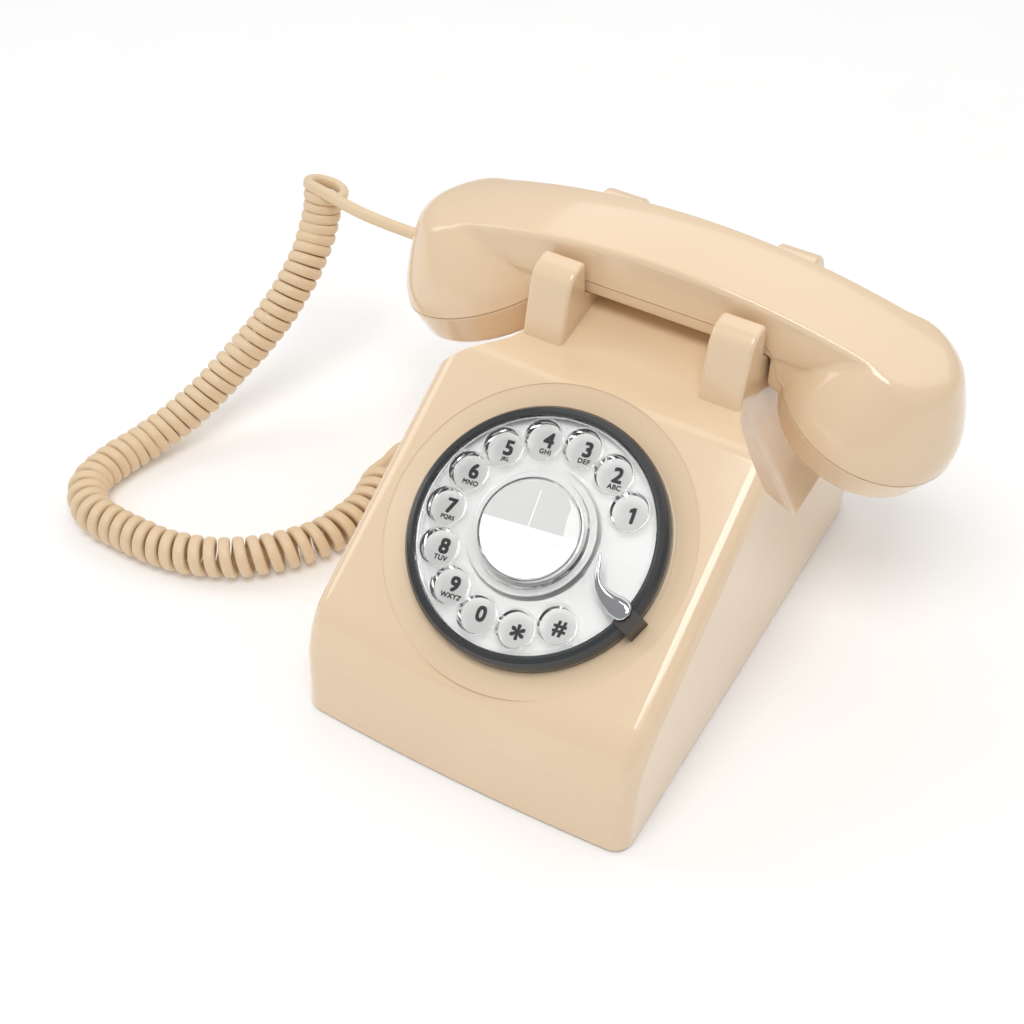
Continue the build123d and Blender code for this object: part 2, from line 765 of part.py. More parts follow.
# ---- curly cord ----
COIL_ROUTE = [
    (-170, 67, 96), (-171, 62, 79), (-171, 50, 66), (-174, 38, 54), (-179, 26, 42),
    (-186, 13, 31), (-192, -1, 21), (-199, -16, 13), (-205, -30, 9), (-209, -44, 8.6),
    (-210, -62, 8.6), (-197, -74, 8.6), (-178, -75, 8.6), (-160, -75, 8.6),
    (-143, -71, 8.6), (-128, -63, 8.6), (-115, -50, 8.6), (-106, -36, 8.6),
    (-102, -20, 8.6), (-102, -7, 8.6), (-106, 6, 8.6),
]
HANDSET_LEAD_ROUTE = [
    (-105, 51.7, 99.5), (-118, 51.7, 99.5), (-133, 52.5, 99), (-148, 55, 98),
    (-162.5, 59.5, 97),
]
BASE_LEAD_ROUTE = [
    (-106, 6, 8.6), (-111, 15, 6.5), (-113, 26, 5), (-108, 36, 4.6),
    (-98, 41, 5.5), (-88, 42, 8.5), (-77.5, 41.2, 11.5), (-67, 41, 12.5),
]


def tube(route, diameter):
    """Round tube along straight runs joined by tangent arcs, and the arcs' radii."""
    points = [Vector(*p) for p in route]
    radii = []
    for last, here, following in zip(points, points[1:], points[2:]):
        turn = (here - last).get_angle(following - here)
        shorter = min((here - last).length, (following - here).length)
        radii.append(0.45 * shorter / math.tan(math.radians(turn / 2)))
    path = FilletPolyline(*points, radius=radii)
    start = Plane(origin=path @ 0, z_dir=path % 0)
    solid = sweep(start.location * Circle(diameter / 2), path=path)
    expected = math.pi * diameter ** 2 / 4 * path.length
    print("cord", round(path.length, 1), "radii", [round(r, 1) for r in radii],
          "volume share", round(solid.volume / expected, 3))
    return solid


def main():
    """Build and write every node."""
    os.makedirs("parts", exist_ok=True)
    nodes = {
        "case_shell": case_shell(),
        "base_plate": base_plate(),
        "rubber_feet": rubber_feet(),
        "base_screws": base_screws(),
        "dial_bezel": dial_bezel(),
        "dial_frame": frame_trimmed(),
        "dial_screws": dial_screws(),
        "number_carrier": number_carrier(),
        "number_plate": number_plate(),
        "finger_wheel": finger_wheel(),
        "centre_plunger": centre_plunger(),
        "centre_label": centre_label(),
        "centre_window": centre_window(),
        "finger_stop": finger_stop(),
        "finger_stop_block": finger_stop_block(),
        "main_gear": main_gear(),
        "dial_shaft": dial_shaft(),
        "dial_bush": dial_bush(),
        "pulse_cam": pulse_cam(),
        "pulse_contact": pulse_contact(),
        "return_spring": return_spring(),
        "governor_pinion": governor_pinion(),
        "governor_spindle": governor_spindle(),
        "governor_drum": governor_drum(),
        "hook_plungers": hook_plungers(),
        "hook_bar": hook_bar(),
        "hook_bracket": hook_bracket(),
        "hook_switch": hook_switch(),
        "main_board": main_board(),
        "board_posts": board_posts(),
        "loudspeaker": loudspeaker(),
        "ballast_weight": ballast_weight(),
        "line_socket": line_socket(),
        "handset_socket": handset_socket(),
        "base_plug": base_plug(),
        "handset_upper": handset_upper(),
        "handset_lower": handset_lower(),
        "receiver_capsule": receiver_capsule(),
        "microphone_capsule": microphone_capsule(),
        "handset_weight": handset_weight(),
        "handset_gland": handset_gland(),
        "coil_cord": tube(COIL_ROUTE, COIL_DIA),
        "handset_lead": tube(HANDSET_LEAD_ROUTE, CORD_DIA),
        "base_lead": tube(BASE_LEAD_ROUTE, CORD_DIA),
    }
    for name, shape in nodes.items():
        save(name, shape)


if __name__ == "__main__":
    main()
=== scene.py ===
import json
import math

import bpy
import numpy as np
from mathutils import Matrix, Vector


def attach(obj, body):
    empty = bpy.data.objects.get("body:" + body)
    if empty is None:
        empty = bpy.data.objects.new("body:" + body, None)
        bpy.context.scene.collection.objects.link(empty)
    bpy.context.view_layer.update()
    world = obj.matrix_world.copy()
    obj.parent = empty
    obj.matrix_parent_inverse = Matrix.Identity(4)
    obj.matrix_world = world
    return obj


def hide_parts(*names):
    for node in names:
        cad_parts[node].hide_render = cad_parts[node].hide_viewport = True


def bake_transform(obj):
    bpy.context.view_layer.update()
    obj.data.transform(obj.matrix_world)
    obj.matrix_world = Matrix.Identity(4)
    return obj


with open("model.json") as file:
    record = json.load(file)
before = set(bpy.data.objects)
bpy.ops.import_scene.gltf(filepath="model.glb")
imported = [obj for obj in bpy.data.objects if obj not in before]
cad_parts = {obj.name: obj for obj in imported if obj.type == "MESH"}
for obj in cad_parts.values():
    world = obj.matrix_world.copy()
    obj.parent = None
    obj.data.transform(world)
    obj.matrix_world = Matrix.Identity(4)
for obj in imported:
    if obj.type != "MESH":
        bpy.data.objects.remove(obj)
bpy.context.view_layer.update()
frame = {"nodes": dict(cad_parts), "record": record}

MM = 0.001
NODES = frame["nodes"]

# ---- the dial's own plane ----
DIAL_TILT = math.radians(32.0)
DIAL_CENTRE = np.array((0.0, -50.2, 75.3)) * MM
DIAL_X = np.array((1.0, 0.0, 0.0))
DIAL_Y = np.array((0.0, math.cos(DIAL_TILT), math.sin(DIAL_TILT)))
DIAL_Z = np.array((0.0, -math.sin(DIAL_TILT), math.cos(DIAL_TILT)))
PLATE_TURN = math.radians(6.1)      # the printing's turn on the plate
FIGURE_CIRCLE_R = 34.3
FIRST_FIGURE = 34.7
FIGURE_STEP = 25.0
PLATE_TOP_H = 0.2
FIGURE_HEIGHT = 5.3
FIGURE_RISE = 1.3                   # above the middle of the hole, where letters follow
LETTER_HEIGHT = 1.75
LETTER_RISE = -3.1
FIGURE_SPREAD = 0.26                # how far the overlaid copies stand apart, for weight
LETTER_SPREAD = 0.09

# ---- the label and its window, from the dial's middle ----
LABEL_GREY_FROM = 0.4
LABEL_RULE = (-2.9, -2.6)
LABEL_DIVIDER = (-0.6, -0.3)
LABEL_SOFT_EDGE = 0.06
LABEL_FAR = 30.0                    # well past the edge of the card
LABEL_PAPER = ((236, 236, 234), (246, 246, 244))
LABEL_GREY = (190, 190, 188)
LABEL_RULE_GREY = (186, 186, 184)
LABEL_DIVIDER_WHITE = (240, 240, 238)
WINDOW_R = 18.35
WINDOW_LOW_H = 10.65
WINDOW_CROWN_H = 12.55
WINDOW_DOME_R = 170.0

# ---- the cord ----
CORD_HALF_WIDTH = 2.36              # along the coil
CORD_HALF_THICK = 2.05              # across it
COIL_MEAN_R = 6.3
TOP_RING_R = 7.7
TURN_POINTS = 16
PITCH_PLACES = [0, 60, 150, 175, 200, 345]       # along the coil's line
PITCHES = [4.85, 5.0, 5.3, 5.5, 5.7, 6.3]        # length of one turn at those places
COIL_ROUTE = [
    (-170, 67, 96), (-171, 62, 79), (-171, 50, 66), (-174, 38, 54), (-179, 26, 42),
    (-186, 13, 31), (-192, -1, 21), (-199, -16, 13), (-205, -30, 9), (-209, -44, 8.6),
    (-210, -62, 8.6), (-197, -74, 8.6), (-178, -75, 8.6), (-160, -75, 8.6),
    (-143, -71, 8.6), (-128, -63, 8.6), (-115, -50, 8.6), (-106, -36, 8.6),
    (-102, -20, 8.6), (-102, -7, 8.6), (-106, 6, 8.6),
]
HANDSET_LEAD_ROUTE = [
    (-105, 51.7, 99.5), (-118, 51.7, 99.5), (-133, 52.5, 99), (-148, 55, 98),
    (-162.5, 59.5, 97),
]
BASE_LEAD_ROUTE = [
    (-106, 6, 8.6), (-111, 15, 6.5), (-113, 26, 5), (-108, 36, 4.6),
    (-98, 41, 5.5), (-88, 42, 8.5), (-77.5, 41.2, 11.5), (-67, 41, 12.5),
]

# ---- the handset ----
CRADLE_Y = 51.7
PARTING_Z = 121.0
PARTING_GAP = 0.35
CUP_X = 79.6
CUP_Z = 93.8
CUP_TILT = math.radians(20.0)
CUP_R = 34.8
CAP_DEPTH = 13.5
HOLE_R = 1.1
ARCH_R = 312.0
ARCH_TOP_Z = 139.6
CROWN_R = 95.0
HANDLE_HALF_WIDTH = 18.0            # at the joint between the halves
HANDLE_TOP_HALF_WIDTH = 16.8        # at HANDLE_TOP_Z, above the crest
HANDLE_TOP_Z = 150.0
HANDLE_END_X = 92.0
HANDSET_LOWS = (-119.0, 14.0, 62.0)
HANDSET_HIGHS = (119.0, 90.0, 143.0)
NET_STEP = 0.95


# ---- small helpers ----
def in_dial(u, v, h):
    """Place in the shared frame, in metres, of a point in the dial's plane, in millimetres."""
    return DIAL_CENTRE + (u * DIAL_X + v * DIAL_Y + h * DIAL_Z) * MM


def polar(radius, degrees):
    return radius * math.cos(math.radians(degrees)), radius * math.sin(math.radians(degrees))


def add_mesh(name, vertices, faces, material, smooth=True):
    """New mesh object from vertices in metres."""
    mesh = bpy.data.meshes.new(name)
    mesh.from_pydata([tuple(v) for v in vertices], [], [tuple(int(i) for i in f) for f in faces])
    mesh.validate()
    mesh.update()
    mesh.materials.append(material)
    for polygon in mesh.polygons:
        polygon.use_smooth = smooth
    piece = bpy.data.objects.new(name, mesh)
    bpy.context.scene.collection.objects.link(piece)
    return piece


def smooth_step(x):
    x = np.clip(x, 0.0, 1.0)
    return x * x * (3 - 2 * x)


# ---- materials ----
def new_material(name):
    material = bpy.data.materials.new(name)
    material.use_nodes = True
    tree = material.node_tree
    tree.nodes.clear()
    output = tree.nodes.new("ShaderNodeOutputMaterial")
    return material, tree, output


def linear(colour):
    """Linear values of an sRGB colour given from 0 to 255."""
    values = [c / 255 for c in colour]
    return tuple(v / 12.92 if v <= 0.04045 else ((v + 0.055) / 1.055) ** 2.4 for v in values) + (1.0,)


def object_noise(tree, scale, detail=2.0):
    """Noise in the piece's own coordinates, with features about 1 / scale metres wide."""
    place = tree.nodes.new("ShaderNodeTexCoord")
    noise = tree.nodes.new("ShaderNodeTexNoise")
    noise.inputs["Scale"].default_value = scale
    noise.inputs["Detail"].default_value = detail
    tree.links.new(place.outputs["Object"], noise.inputs["Vector"])
    return noise.outputs["Fac"]


def ramp(tree, value, stops):
    """Colour ramp over a value, from (position, colour) stops."""
    node = tree.nodes.new("ShaderNodeValToRGB")
    elements = node.color_ramp.elements
    while len(elements) < len(stops):
        elements.new(0.5)
    for element, (position, colour) in zip(elements, stops):
        element.position = position
        element.color = colour
    tree.links.new(value, node.inputs["Fac"])
    return node.outputs["Color"]


def spread_value(tree, value, low, high):
    node = tree.nodes.new("ShaderNodeMapRange")
    node.inputs["To Min"].default_value = low
    node.inputs["To Max"].default_value = high
    tree.links.new(value, node.inputs["Value"])
    return node.outputs["Result"]


def moulded(name, light, dark, roughness, metallic=0.0, coat=0.0, bump=0.02, grain=900.0, patch=14.0):
    """Moulded or metal surface: two close tones in wide patches, uneven gloss and a fine grain."""
    material, tree, output = new_material(name)
    shader = tree.nodes.new("ShaderNodeBsdfPrincipled")
    patches = object_noise(tree, patch)
    tone = ramp(tree, patches, [(0.3, linear(dark)), (0.7, linear(light))])
    tree.links.new(tone, shader.inputs["Base Color"])
    uneven = object_noise(tree, patch * 7, 4.0)
    rough = spread_value(tree, uneven, roughness * 0.75, roughness * 1.25)
    tree.links.new(rough, shader.inputs["Roughness"])
    shader.inputs["Metallic"].default_value = metallic
    shader.inputs["Coat Weight"].default_value = coat
    shader.inputs["Coat Roughness"].default_value = 0.06
    relief = tree.nodes.new("ShaderNodeBump")
    relief.inputs["Strength"].default_value = bump
    relief.inputs["Distance"].default_value = 0.0004
    tree.links.new(object_noise(tree, grain, 2.0), relief.inputs["Height"])
    tree.links.new(relief.outputs["Normal"], shader.inputs["Normal"])
    tree.links.new(shader.outputs["BSDF"], output.inputs["Surface"])
    return material


def clear_plastic(name, tint, roughness):
    """Clear moulding that lets lamps through to what is under it."""
    material, tree, output = new_material(name)
    glass = tree.nodes.new("ShaderNodeBsdfPrincipled")
    glass.inputs["Base Color"].default_value = linear(tint)
    glass.inputs["Transmission Weight"].default_value = 1.0
    glass.inputs["IOR"].default_value = 1.45
    rough = spread_value(tree, object_noise(tree, 160.0), roughness * 0.5, roughness * 1.5)
    tree.links.new(rough, glass.inputs["Roughness"])
    relief = tree.nodes.new("ShaderNodeBump")
    relief.inputs["Strength"].default_value = 0.03
    relief.inputs["Distance"].default_value = 0.0006
    tree.links.new(object_noise(tree, 180.0), relief.inputs["Height"])
    tree.links.new(relief.outputs["Normal"], glass.inputs["Normal"])
    window = tree.nodes.new("ShaderNodeBsdfTransparent")
    rays = tree.nodes.new("ShaderNodeLightPath")
    mix = tree.nodes.new("ShaderNodeMixShader")
    tree.links.new(rays.outputs["Is Shadow Ray"], mix.inputs["Fac"])
    tree.links.new(glass.outputs["BSDF"], mix.inputs[1])
    tree.links.new(window.outputs["BSDF"], mix.inputs[2])
    tree.links.new(mix.outputs["Shader"], output.inputs["Surface"])
    return material


def card_material(name):
    """Printed card: a grey upper half with a thin rule, white below with another."""
    material, tree, output = new_material(name)
    shader = tree.nodes.new("ShaderNodeBsdfPrincipled")
    place = tree.nodes.new("ShaderNodeTexCoord")
    across = math.cos(PLATE_TURN) * DIAL_X + math.sin(PLATE_TURN) * DIAL_Y
    upward = -math.sin(PLATE_TURN) * DIAL_X + math.cos(PLATE_TURN) * DIAL_Y

    def along(direction):
        shift = tree.nodes.new("ShaderNodeVectorMath")
        shift.operation = "SUBTRACT"
        shift.inputs[1].default_value = tuple(DIAL_CENTRE)
        tree.links.new(place.outputs["Object"], shift.inputs[0])
        dot = tree.nodes.new("ShaderNodeVectorMath")
        dot.operation = "DOT_PRODUCT"
        dot.inputs[1].default_value = tuple(direction / MM)
        tree.links.new(shift.outputs["Vector"], dot.inputs[0])
        return dot.outputs["Value"]

    def between(value, low, high):
        """1 where the value lies between two limits, with soft ends."""
        node = tree.nodes.new("ShaderNodeMapRange")
        node.interpolation_type = "SMOOTHSTEP"
        node.inputs["From Min"].default_value = low - LABEL_SOFT_EDGE
        node.inputs["From Max"].default_value = low + LABEL_SOFT_EDGE
        tree.links.new(value, node.inputs["Value"])
        other = tree.nodes.new("ShaderNodeMapRange")
        other.interpolation_type = "SMOOTHSTEP"
        other.inputs["From Min"].default_value = high + LABEL_SOFT_EDGE
        other.inputs["From Max"].default_value = high - LABEL_SOFT_EDGE
        tree.links.new(value, other.inputs["Value"])
        both = tree.nodes.new("ShaderNodeMath")
        both.operation = "MULTIPLY"
        tree.links.new(node.outputs["Result"], both.inputs[0])
        tree.links.new(other.outputs["Result"], both.inputs[1])
        return both.outputs["Value"]

    def over(below, mask, colour):
        node = tree.nodes.new("ShaderNodeMix")
        node.data_type = "RGBA"
        node.inputs["B"].default_value = linear(colour)
        tree.links.new(mask, node.inputs["Factor"])
        tree.links.new(below, node.inputs["A"])
        return node.outputs["Result"]

    sideways = along(across)
    height = along(upward)
    tones = [(stop, linear(colour)) for stop, colour in zip((0.3, 0.7), LABEL_PAPER)]
    paper = ramp(tree, object_noise(tree, 400.0), tones)
    toned = over(paper, between(height, LABEL_GREY_FROM, LABEL_FAR), LABEL_GREY)
    ruled = over(toned, between(height, *LABEL_RULE), LABEL_RULE_GREY)
    rule_mask = tree.nodes.new("ShaderNodeMath")
    rule_mask.operation = "MULTIPLY"
    tree.links.new(between(sideways, *LABEL_DIVIDER), rule_mask.inputs[0])
    tree.links.new(between(height, LABEL_RULE[1], 14.0), rule_mask.inputs[1])
    finished = over(ruled, rule_mask.outputs["Value"], LABEL_DIVIDER_WHITE)
    tree.links.new(finished, shader.inputs["Base Color"])
    rough = spread_value(tree, object_noise(tree, 900.0), 0.45, 0.6)
    tree.links.new(rough, shader.inputs["Roughness"])
    tree.links.new(shader.outputs["BSDF"], output.inputs["Surface"])
    return material


CREAM_LOOK = {"roughness": 0.16, "coat": 0.5}

MATERIALS = {
    "cream_case": moulded("cream_case", (238, 212, 179), (235, 208, 174), **CREAM_LOOK),
    "cream_handset": moulded("cream_handset", (239, 213, 180), (236, 209, 175), **CREAM_LOOK),
    "cord_sleeve": moulded(
        "cord_sleeve", (234, 209, 174), (229, 203, 168), 0.4, bump=0.08, grain=2600.0,
    ),
    "dark_plastic": moulded(
        "dark_plastic", (52, 54, 56), (44, 46, 48), 0.28, coat=0.2, bump=0.05, grain=2200.0,
    ),
    "brown_black": moulded(
        "brown_black", (58, 48, 42), (48, 40, 35), 0.4, bump=0.06, grain=2200.0,
    ),
    "clear_plastic": clear_plastic("clear_plastic", (252, 253, 253), 0.02),
    "plug_clear": clear_plastic("plug_clear", (242, 243, 240), 0.08),
    "plate_silver": moulded(
        "plate_silver", (214, 214, 212), (206, 206, 204), 0.36,
        metallic=0.1, bump=0.04, grain=1500.0,
    ),
    "label_card": card_material("label_card"),
    "plated": moulded(
        "plated", (208, 209, 212), (198, 200, 203), 0.05, metallic=1.0, bump=0.02, grain=500.0,
    ),
    "steel": moulded(
        "steel", (176, 178, 180), (158, 160, 163), 0.32, metallic=1.0, bump=0.08, grain=1800.0,
    ),
    "brass_parts": moulded(
        "brass_parts", (200, 168, 96), (184, 150, 80), 0.3, metallic=1.0, bump=0.06, grain=1800.0,
    ),
    "inner_plastic": moulded(
        "inner_plastic", (40, 41, 43), (32, 33, 35), 0.5, bump=0.08, grain=1800.0,
    ),
    "base_black": moulded(
        "base_black", (46, 45, 44), (38, 37, 36), 0.55, bump=0.12, grain=1600.0,
    ),
    "feet_rubber": moulded(
        "feet_rubber", (34, 33, 32), (27, 26, 26), 0.8, bump=0.2, grain=1400.0,
    ),
    "board_green": moulded(
        "board_green", (38, 92, 58), (30, 78, 48), 0.4, bump=0.08, grain=1400.0,
    ),
    "cone_paper": moulded(
        "cone_paper", (60, 58, 54), (48, 46, 43), 0.85, bump=0.3, grain=1200.0,
    ),
    "figure_ink": moulded("figure_ink", (44, 44, 46), (36, 36, 38), 0.5, bump=0.02),
}


def paint_cad_nodes():
    """Give every carried-over CAD node the material of its slot."""
    for part in frame["record"]["subparts"]:
        node = NODES[part["node"]]
        node.data.materials.clear()
        node.data.materials.append(MATERIALS[part["material_slot"]])


# ---- camera, floor and light ----
def make_camera():
    azimuth = math.radians(30.646)
    elevation = math.radians(44.455)
    back = Vector((
        math.sin(azimuth) * math.cos(elevation),
        -math.cos(azimuth) * math.cos(elevation),
        math.sin(elevation),
    ))
    data = bpy.data.cameras.new("camera")
    data.sensor_width = 36.0
    data.lens = 59.674
    camera = bpy.data.objects.new("camera", data)
    camera.location = (0.20457, -0.41272, 0.4959)
    camera.rotation_mode = "QUATERNION"
    camera.rotation_quaternion = (-back).to_track_quat("-Z", "Y")
    bpy.context.scene.collection.objects.link(camera)
    bpy.context.scene.camera = camera


def make_floor():
    size = 6.0
    material = moulded("floor_pale", (250, 250, 250), (248, 248, 248), 0.9, bump=0.0)
    shader = material.node_tree.nodes["Principled BSDF"]
    shader.inputs["Emission Color"].default_value = (1.0, 1.0, 1.0, 1.0)
    shader.inputs["Emission Strength"].default_value = 0.09
    corners = [(-size, -size, 0), (size, -size, 0), (size, size, 0), (-size, size, 0)]
    floor = add_mesh("floor", corners, [(0, 1, 2, 3)], material, smooth=False)


def area_light(name, place, target, size, power):
    data = bpy.data.lights.new(name, "AREA")
    data.shape = "RECTANGLE"
    data.size, data.size_y = size
    data.energy = power
    lamp = bpy.data.objects.new(name, data)
    lamp.location = place
    direction = Vector(target) - Vector(place)
    lamp.rotation_mode = "QUATERNION"
    lamp.rotation_quaternion = direction.to_track_quat("-Z", "Y")
    bpy.context.scene.collection.objects.link(lamp)


def make_light():
    world = bpy.data.worlds.new("studio")
    bpy.context.scene.world = world
    world.use_nodes = True
    sky = world.node_tree.nodes["Background"]
    sky.inputs["Color"].default_value = (1.0, 0.995, 0.985, 1.0)
    sky.inputs["Strength"].default_value = 0.42
    area_light("panel_light", (0.12, -0.42, 1.25), (0.05, -0.1, 0.05), (0.72, 0.5), 6.8)
    area_light("left_light", (-1.15, -0.25, 0.8), (0, 0, 0.08), (0.5, 0.9), 2.8)
    area_light("rear_light", (0.1, 0.8, 1.1), (0, 0, 0.08), (2.2, 1.2), 6.5)
    area_light("side_light", (1.2, -0.3, 0.6), (0, 0, 0.08), (0.4, 0.8), 0.2)
    area_light("low_light", (-0.35, -0.9, 0.12), (-0.05, 0.05, 0.09), (0.8, 0.2), 0.25)
    bpy.context.scene.view_settings.view_transform = "Standard"


# ---- cord ----
def nurbs_line(points, resolution):
    """Points along the NURBS curve that has these control points, in millimetres."""
    data = bpy.data.curves.new("route", "CURVE")
    data.dimensions = "3D"
    data.resolution_u = resolution
    spline = data.splines.new("NURBS")
    spline.points.add(len(points) - 1)
    for point, place in zip(spline.points, points):
        point.co = (*[float(c) for c in place], 1.0)
    spline.order_u = 3
    spline.use_endpoint_u = True
    holder = bpy.data.objects.new("route", data)
    mesh = bpy.data.meshes.new_from_object(holder)
    line = np.array([v.co for v in mesh.vertices], float)
    bpy.data.meshes.remove(mesh)
    bpy.data.objects.remove(holder)
    bpy.data.curves.remove(data)
    return line


def along_line(line):
    """Running length at each point of a line."""
    return np.concatenate([[0.0], np.cumsum(np.linalg.norm(np.diff(line, axis=0), axis=1))])


def tangents(line):
    rate = np.gradient(line, axis=0)
    return rate / np.linalg.norm(rate, axis=1)[:, None]


def carried_normals(line, first):
    """Normals carried along a line without twist, from a first direction."""
    tangent = tangents(line)
    normals = np.empty_like(line)
    current = np.array(first, float)
    for i, t in enumerate(tangent):
        current = current - t * (current @ t)
        current = current / np.linalg.norm(current)
        normals[i] = current
    return normals


def coil_points():
    """Control points of the helix and, at each, the direction out from the coil's own line."""
    line = nurbs_line(COIL_ROUTE, 24)
    length = along_line(line)
    tangent = tangents(line)
    incoming = np.array(HANDSET_LEAD_ROUTE[-1], float) - np.array(HANDSET_LEAD_ROUTE[-2], float)
    first = np.cross(incoming, tangent[0])
    normal = carried_normals(line, first)
    binormal = np.cross(tangent, normal)
    pitch = np.interp(length, PITCH_PLACES, PITCHES)
    turn = np.concatenate([[0.0], np.cumsum(np.diff(length) / (0.5 * (pitch[1:] + pitch[:-1])))])
    turns = math.floor(turn[-1] * 4) / 4
    count = int(turns * TURN_POINTS) + 1
    points = []
    outward = []
    for i in range(count):
        at = i / TURN_POINTS
        s = np.interp(at, turn, length)
        centre, n, b = [
            np.array([np.interp(s, length, values[:, k]) for k in range(3)])
            for values in (line, normal, binormal)
        ]
        angle = 2 * math.pi * at
        out = n * math.cos(angle) + b * math.sin(angle)
        out = out / np.linalg.norm(out)
        widening = (TOP_RING_R - COIL_MEAN_R) * (1 - smooth_step((at - 0.6) / 0.8))
        uneven = 0.09 * math.sin(1.7 * at) + 0.07 * math.sin(0.53 * at + 1.0)
        points.append(centre + out * (COIL_MEAN_R + widening + uneven))
        outward.append(out)
    return np.array(points), np.array(outward)


def make_cord():
    """The whole cord, one tube: lead, curls and lead."""
    helix, outward = coil_points()
    before = [np.array(p, float) for p in HANDSET_LEAD_ROUTE]
    after = [np.array(p, float) for p in BASE_LEAD_ROUTE[1:]]
    line = nurbs_line([*before, *helix, *after], 2)
    tangent = tangents(line)
    start = int(np.linalg.norm(line - helix[1], axis=1).argmin())
    end = int(np.linalg.norm(line - helix[-2], axis=1).argmin())
    out = np.empty_like(line)
    cursor = 0
    for i in range(start, end + 1):
        window = helix[cursor:cursor + 6]
        cursor += int(np.linalg.norm(window - line[i], axis=1).argmin())
        out[i] = outward[cursor]
    out[: start + 1] = carried_normals(line[: start + 1][::-1], out[start])[::-1]
    out[end:] = carried_normals(line[end:], out[end])
    ring_points = 16
    power = 2 / 2.7
    vertices = []
    for centre, t, o in zip(line, tangent, out):
        o = o - t * (o @ t)
        o = o / np.linalg.norm(o)
        side = np.cross(t, o)
        for k in range(ring_points):
            angle = 2 * math.pi * k / ring_points
            c, s = math.cos(angle), math.sin(angle)
            wide = CORD_HALF_WIDTH * math.copysign(abs(c) ** power, c)
            thick = CORD_HALF_THICK * math.copysign(abs(s) ** power, s)
            vertices.append((centre + side * wide + o * thick) * MM)
    faces = []
    for i in range(len(line) - 1):
        for k in range(ring_points):
            a = i * ring_points + k
            b = i * ring_points + (k + 1) % ring_points
            faces.append((a, b, b + ring_points, a + ring_points))
    faces.append(tuple(range(ring_points))[::-1])
    faces.append(tuple(range((len(line) - 1) * ring_points, len(line) * ring_points)))
    cord = add_mesh("curly_cord", vertices, faces, MATERIALS["cord_sleeve"])
    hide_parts("coil_cord", "handset_lead", "base_lead")
    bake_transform(cord)
    return cord


# ---- handset ----
def signed_distance_table(corners, lows, highs, step):
    """Signed distance to a closed outline, negative inside, on a grid, as a lookup."""
    a = np.array(corners, float)
    b = np.roll(a, -1, axis=0)
    first = np.arange(lows[0], highs[0] + step, step)
    second = np.arange(lows[1], highs[1] + step, step)
    p = np.stack(np.meshgrid(first, second, indexing="ij"), axis=-1).reshape(-1, 1, 2)
    edge = b - a
    share = np.clip(((p - a) * edge).sum(-1) / (edge * edge).sum(-1), 0, 1)
    distance = np.linalg.norm(p - a - share[..., None] * edge, axis=-1).min(-1)
    crosses = (a[:, 1] > p[..., 1]) != (b[:, 1] > p[..., 1])
    with np.errstate(divide="ignore", invalid="ignore"):
        meets = a[:, 0] + (p[..., 1] - a[:, 1]) * edge[:, 0] / edge[:, 1]
    inside = (crosses & (p[..., 0] < meets)).sum(-1) % 2 == 1
    table = np.where(inside, -distance, distance).reshape(len(first), len(second))

    def look_up(u, v):
        i = np.clip((u - lows[0]) / step, 0, len(first) - 1.001)
        j = np.clip((v - lows[1]) / step, 0, len(second) - 1.001)
        i0, j0 = i.astype(int), j.astype(int)
        fi, fj = i - i0, j - j0
        return (
            table[i0, j0] * (1 - fi) * (1 - fj) + table[i0 + 1, j0] * fi * (1 - fj)
            + table[i0, j0 + 1] * (1 - fi) * fj + table[i0 + 1, j0 + 1] * fi * fj
        )

    return look_up


def rounded_outline(corners, arc_points=8):
    """Corner points with arcs, from (a, b, radius) corners of a closed outline."""
    points = []
    count = len(corners)
    for i, (a, b, radius) in enumerate(corners):
        here = np.array((a, b), float)
        if radius == 0:
            points.append(here)
            continue
        last = np.array(corners[i - 1][:2], float) - here
        following = np.array(corners[(i + 1) % count][:2], float) - here
        last = last / np.linalg.norm(last)
        following = following / np.linalg.norm(following)
        half = math.acos(np.clip(last @ following, -1, 1)) / 2
        reach = radius / math.tan(half)
        start, end = here + last * reach, here + following * reach
        inward = (last + following) / np.linalg.norm(last + following)
        centre = here + inward * radius / math.sin(half)
        for k in range(arc_points + 1):
            share = k / arc_points
            chord = (start - centre) * (1 - share) + (end - centre) * share
            points.append(centre + chord / np.linalg.norm(chord) * radius)
    return np.array(points)


def cup_profile():
    """Closed outline of a cup, from its axis, as (radius, height) points."""
    dome = [
        (CUP_R - 0.2, 0), (33.7, 6), (30.4, 14), (24.9, 24), (18.6, 33), (12, 38.6), (0, 41),
    ]
    curve = nurbs_line([(*p, 0) for p in through(dome)], 8)[:, :2]
    cap = rounded_outline([(-30, -CAP_DEPTH, 0), (30.6, -CAP_DEPTH, 3.4), (CUP_R - 0.2, 0, 0)])
    return np.concatenate([cap, curve[1:], [(-30, 41)]])


def through(points):
    """Control points whose quadratic NURBS passes close to the given points."""
    p = np.array(points, float)
    moved = p.copy()
    moved[1:-1] += (p[1:-1] - (p[:-2] + p[2:]) / 2) * 0.3
    return moved


def smooth_union(a, b, k):
    h = np.maximum(k - np.abs(a - b), 0) / k
    return np.minimum(a, b) - h * h * k / 4


def smooth_cut(a, b, k):
    """Smooth intersection: the larger of the two, rounded over a width k."""
    h = np.maximum(k - np.abs(a - b), 0) / k
    return np.maximum(a, b) + h * h * k / 4


